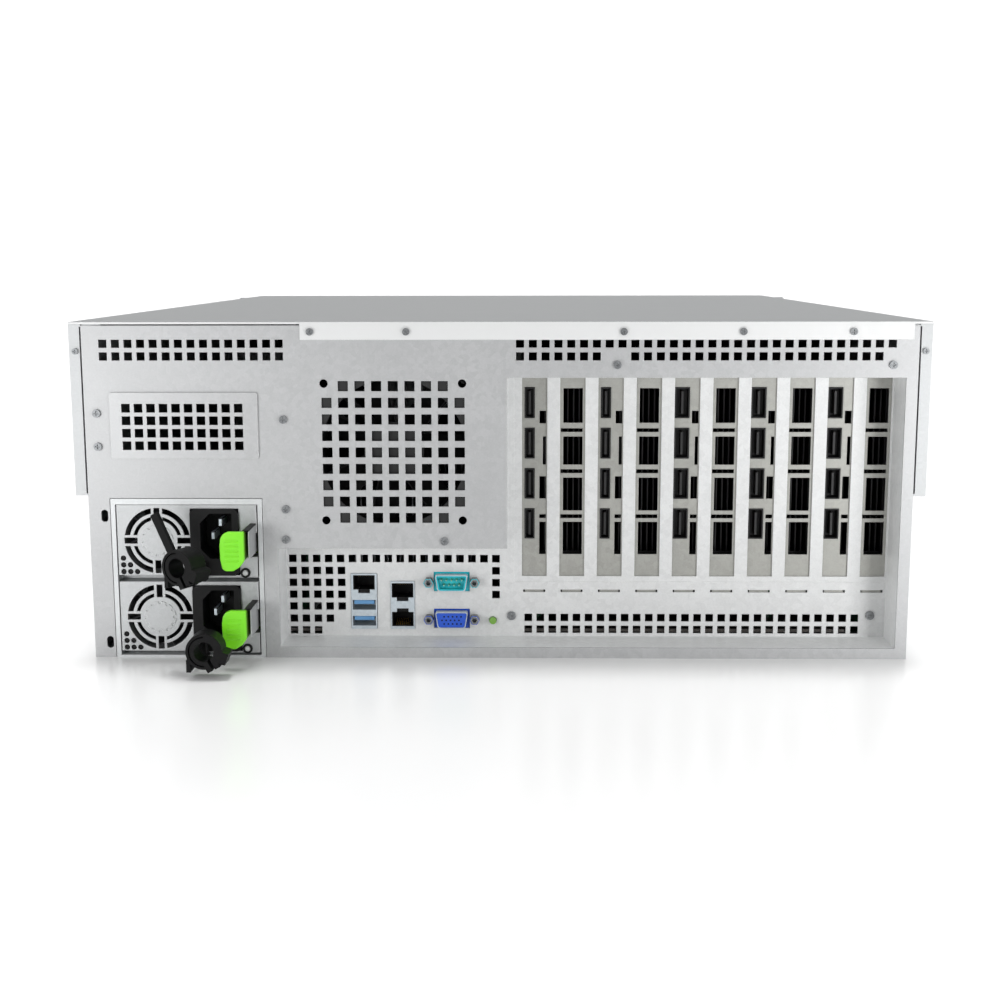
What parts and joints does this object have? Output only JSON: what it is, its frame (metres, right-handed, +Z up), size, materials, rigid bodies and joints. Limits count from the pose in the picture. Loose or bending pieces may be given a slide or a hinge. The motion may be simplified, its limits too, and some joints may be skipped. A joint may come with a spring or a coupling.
{
  "type": "4u rack server for graphics cards",
  "caption": "Rack server chassis with sliding power supplies, recessed ports and double-width card slots at its rear, rack ears and drive carriers at its front.",
  "frame": {"origin": "middle of the body's underside, on the face it rests on", "axes": "+Z up, +Y towards the front with the rack ears, +X to the right when looking at the rear face"},
  "size_m": [0.4826, 0.692, 0.177],
  "materials": {
    "aluminium": "plain aluminium fins and handles",
    "black_plastic": "black moulded plastic",
    "blue_plastic": "blue connector",
    "board": "green circuit board",
    "bright_steel": "bright plated sheet",
    "button_green": "green translucent button",
    "cover_steel": "mid grey sheet steel cover, satin",
    "green_plastic": "bright green moulded plastic",
    "grey_plastic": "dark grey moulded plastic",
    "screw_steel": "plain steel screw heads",
    "steel": "light galvanised sheet steel, satin",
    "teal_plastic": "teal connector"
  },
  "bodies": {
    "chassis": {"chassis_tub": "steel", "rear_panel": "steel", "recess_frame": "steel", "io_panel": "steel", "slot_frame": "bright_steel", "left_shoulder": "steel", "right_shoulder": "steel", "rear_screws": "screw_steel", "vent_cover": "bright_steel", "rear_fan_frame": "black_plastic", "psu_cage": "steel", "psu_backplane": "board", "motherboard": "board", "lan_usb_stack": "bright_steel", "twin_lan_stack": "bright_steel", "com_port": "teal_plastic", "vga_port": "blue_plastic", "cpu_heatsinks": "aluminium", "memory_modules": "board", "gpu_riser_board": "board", "gpu_card_1": "grey_plastic", "gpu_card_2": "grey_plastic", "gpu_card_3": "grey_plastic", "gpu_card_4": "grey_plastic", "gpu_card_5": "grey_plastic", "gpu_brackets": "bright_steel", "display_ports": "grey_plastic", "fan_wall": "steel", "fan_frames": "black_plastic", "front_panel": "steel", "drive_cage": "steel", "drive_backplane": "board", "rack_ears": "steel", "ear_handles": "aluminium"},
    "cover": {"top_cover": "cover_steel", "cover_screws": "screw_steel"},
    "rear_fan_wheel": {"rear_fan_rotor": "grey_plastic"},
    "uid_key": {"uid_button": "button_green"},
    "power_key": {"power_button": "aluminium"},
    "upper_psu": {"upper_psu_case": "bright_steel", "upper_psu_inlet": "black_plastic"},
    "upper_psu_wheel": {"upper_psu_rotor": "grey_plastic"},
    "upper_latch": {"upper_psu_latch": "green_plastic"},
    "upper_clamp": {"upper_cord_clamp": "black_plastic"},
    "lower_psu": {"lower_psu_case": "bright_steel", "lower_psu_inlet": "black_plastic"},
    "lower_psu_wheel": {"lower_psu_rotor": "grey_plastic"},
    "lower_latch": {"lower_psu_latch": "green_plastic"},
    "lower_clamp": {"lower_cord_clamp": "black_plastic"},
    "wall_wheel_1": {"wall_rotor_1": "grey_plastic"},
    "wall_wheel_2": {"wall_rotor_2": "grey_plastic"},
    "wall_wheel_3": {"wall_rotor_3": "grey_plastic"},
    "tray_1": {"drive_tray_1": "black_plastic"},
    "lever_1": {"tray_lever_1": "grey_plastic"},
    "tray_2": {"drive_tray_2": "black_plastic"},
    "lever_2": {"tray_lever_2": "grey_plastic"},
    "tray_3": {"drive_tray_3": "black_plastic"},
    "lever_3": {"tray_lever_3": "grey_plastic"},
    "tray_4": {"drive_tray_4": "black_plastic"},
    "lever_4": {"tray_lever_4": "grey_plastic"}
  },
  "joints": [
    {"name": "cover_lift", "type": "slide", "parent": "chassis", "child": "cover", "axis": [0, 0, 1], "range_m": [0, 0.2]},
    {"name": "rear_fan_spin", "type": "hinge", "parent": "chassis", "child": "rear_fan_wheel", "pos_m": [-0.0546, -0.285, 0.1097], "axis": [0, 1, 0], "continuous": true},
    {"name": "lower_psu_slide", "type": "slide", "parent": "chassis", "child": "lower_psu", "axis": [0, -1, 0], "range_m": [0, 0.2]},
    {"name": "lower_psu_fan_spin", "type": "hinge", "parent": "lower_psu", "child": "lower_psu_wheel", "pos_m": [-0.17955, -0.288, 0.022], "axis": [0, 1, 0], "continuous": true},
    {"name": "lower_latch_press", "type": "hinge", "parent": "lower_psu", "child": "lower_latch", "pos_m": [-0.1296, -0.291, 0.0198], "axis": [0, 0, -1], "range_deg": [0, 7], "stiffness_Nm_per_rad": 0.6},
    {"name": "lower_clamp_swing", "type": "hinge", "parent": "lower_psu", "child": "lower_clamp", "pos_m": [-0.156, -0.3044, 0.0064], "axis": [0, 0, 1], "range_deg": [-75, 0]},
    {"name": "upper_psu_slide", "type": "slide", "parent": "chassis", "child": "upper_psu", "axis": [0, -1, 0], "range_m": [0, 0.2]},
    {"name": "upper_psu_fan_spin", "type": "hinge", "parent": "upper_psu", "child": "upper_psu_wheel", "pos_m": [-0.17955, -0.288, 0.063], "axis": [0, 1, 0], "continuous": true},
    {"name": "upper_latch_press", "type": "hinge", "parent": "upper_psu", "child": "upper_latch", "pos_m": [-0.1296, -0.291, 0.0608], "axis": [0, 0, -1], "range_deg": [0, 7], "stiffness_Nm_per_rad": 0.6},
    {"name": "upper_clamp_swing", "type": "hinge", "parent": "upper_psu", "child": "upper_clamp", "pos_m": [-0.156, -0.3044, 0.0474], "axis": [0, 0, 1], "range_deg": [-25, 10]},
    {"name": "uid_press", "type": "slide", "parent": "chassis", "child": "uid_key", "axis": [0, 1, 0], "range_m": [0, 0.0012], "stiffness_N_per_m": 400},
    {"name": "power_press", "type": "slide", "parent": "chassis", "child": "power_key", "axis": [0, -1, 0], "range_m": [0, 0.0015], "stiffness_N_per_m": 400},
    {"name": "wall_fan_1_spin", "type": "hinge", "parent": "chassis", "child": "wall_wheel_1", "pos_m": [-0.141, 0.112, 0.064], "axis": [0, 1, 0], "continuous": true},
    {"name": "wall_fan_2_spin", "type": "hinge", "parent": "chassis", "child": "wall_wheel_2", "pos_m": [0, 0.112, 0.064], "axis": [0, 1, 0], "continuous": true},
    {"name": "wall_fan_3_spin", "type": "hinge", "parent": "chassis", "child": "wall_wheel_3", "pos_m": [0.141, 0.112, 0.064], "axis": [0, 1, 0], "continuous": true},
    {"name": "tray_1_slide", "type": "slide", "parent": "chassis", "child": "tray_1", "axis": [0, 1, 0], "range_m": [0, 0.15]},
    {"name": "lever_1_swing", "type": "hinge", "parent": "tray_1", "child": "lever_1", "pos_m": [-0.202, 0.2994, 0.012], "axis": [0, 0, 1], "range_deg": [0, 75]},
    {"name": "tray_2_slide", "type": "slide", "parent": "chassis", "child": "tray_2", "axis": [0, 1, 0], "range_m": [0, 0.15]},
    {"name": "lever_2_swing", "type": "hinge", "parent": "tray_2", "child": "lever_2", "pos_m": [-0.097, 0.2994, 0.012], "axis": [0, 0, 1], "range_deg": [0, 75]},
    {"name": "tray_3_slide", "type": "slide", "parent": "chassis", "child": "tray_3", "axis": [0, 1, 0], "range_m": [0, 0.15]},
    {"name": "lever_3_swing", "type": "hinge", "parent": "tray_3", "child": "lever_3", "pos_m": [0.008, 0.2994, 0.012], "axis": [0, 0, 1], "range_deg": [0, 75]},
    {"name": "tray_4_slide", "type": "slide", "parent": "chassis", "child": "tray_4", "axis": [0, 1, 0], "range_m": [0, 0.15]},
    {"name": "lever_4_swing", "type": "hinge", "parent": "tray_4", "child": "lever_4", "pos_m": [0.113, 0.2994, 0.012], "axis": [0, 0, 1], "range_deg": [0, 75]}
  ]
}
